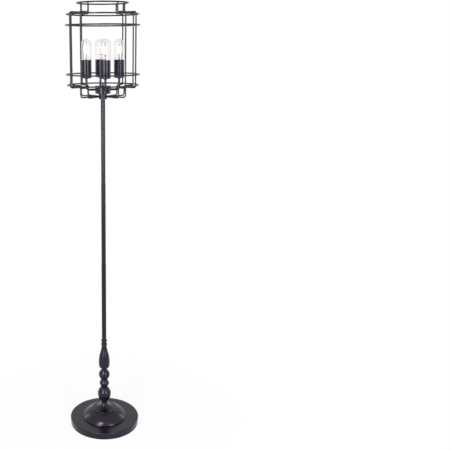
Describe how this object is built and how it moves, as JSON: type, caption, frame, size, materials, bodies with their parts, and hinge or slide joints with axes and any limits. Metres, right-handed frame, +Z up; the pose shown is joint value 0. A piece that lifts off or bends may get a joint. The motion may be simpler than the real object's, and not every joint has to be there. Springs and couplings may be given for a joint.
{
  "type": "floor lamp",
  "caption": "Floor lamp with a weighted round base, a turned column, a slender pole, and upright tubular bulbs inside an open cage of bent wire.",
  "frame": {"origin": "middle of the round base, on the floor", "axes": "+Z up along the pole; -Y is the front, and the cord outlet is at the back, +Y"},
  "size_m": [0.2616, 0.2616, 1.5514],
  "materials": {
    "black_coat": "satin black powder coat",
    "foam_pad": "matt closed-cell foam sheet",
    "cast_iron": "as cast, thin grey primer",
    "zinc_steel": "bright zinc plated",
    "bushing_plastic": "moulded nylon",
    "wire_jacket": "extruded flexible jacket",
    "brass_shell": "rolled sheet",
    "phenolic": "moulded phenolic",
    "nickel_cap": "nickel-coloured rolled cap",
    "clear_glass": "clear blown glass",
    "filament": "phosphor-coated strips, lit"
  },
  "bodies": {
    "stand": {"arm_front": "black_coat", "arm_left": "black_coat", "arm_rear": "black_coat", "arm_right": "black_coat", "base_bell": "black_coat", "base_cover": "black_coat", "base_dome": "black_coat", "base_fasteners": "zinc_steel", "base_pad": "foam_pad", "base_weight": "cast_iron", "beaded_ferrule": "black_coat", "cage_ring_bottom": "black_coat", "cage_ring_lower": "black_coat", "cage_ring_shoulder": "black_coat", "cage_ring_top": "black_coat", "cage_ring_upper": "black_coat", "cage_wires_front_left": "black_coat", "cage_wires_front_right": "black_coat", "cage_wires_rear_left": "black_coat", "cage_wires_rear_right": "black_coat", "cluster_drum": "black_coat", "column_rod": "zinc_steel", "column_vase": "black_coat", "cord_outlet_bushing": "bushing_plastic", "cover_knob": "black_coat", "cover_strap": "zinc_steel", "drum_cover": "black_coat", "hub_collar": "black_coat", "hub_nuts": "zinc_steel", "lampholder_front": "phenolic", "lampholder_left": "phenolic", "lampholder_rear": "phenolic", "lampholder_right": "phenolic", "lower_ball": "black_coat", "middle_ball": "black_coat", "pole_bushings": "zinc_steel", "pole_lower": "black_coat", "pole_middle": "black_coat", "pole_upper": "black_coat", "socket_cup_front": "black_coat", "socket_cup_left": "black_coat", "socket_cup_rear": "black_coat", "socket_cup_right": "black_coat", "socket_shells": "brass_shell", "threaded_nipples": "zinc_steel", "upper_ball": "black_coat", "wiring_harness": "wire_jacket"},
    "bulb_front": {"bulb_cap_front": "nickel_cap", "bulb_glass_front": "clear_glass", "bulb_filaments_front": "filament"},
    "bulb_right": {"bulb_cap_right": "nickel_cap", "bulb_glass_right": "clear_glass", "bulb_filaments_right": "filament"},
    "bulb_rear": {"bulb_cap_rear": "nickel_cap", "bulb_glass_rear": "clear_glass", "bulb_filaments_rear": "filament"},
    "bulb_left": {"bulb_cap_left": "nickel_cap", "bulb_glass_left": "clear_glass", "bulb_filaments_left": "filament"}
  },
  "joints": [
    {"name": "bulb_front_unscrew", "type": "slide", "parent": "stand", "child": "bulb_front", "axis": [0, 0, 1], "range_m": [0, 0.018]},
    {"name": "bulb_right_unscrew", "type": "slide", "parent": "stand", "child": "bulb_right", "axis": [0, 0, 1], "range_m": [0, 0.018]},
    {"name": "bulb_rear_unscrew", "type": "slide", "parent": "stand", "child": "bulb_rear", "axis": [0, 0, 1], "range_m": [0, 0.018]},
    {"name": "bulb_left_unscrew", "type": "slide", "parent": "stand", "child": "bulb_left", "axis": [0, 0, 1], "range_m": [0, 0.018]}
  ]
}
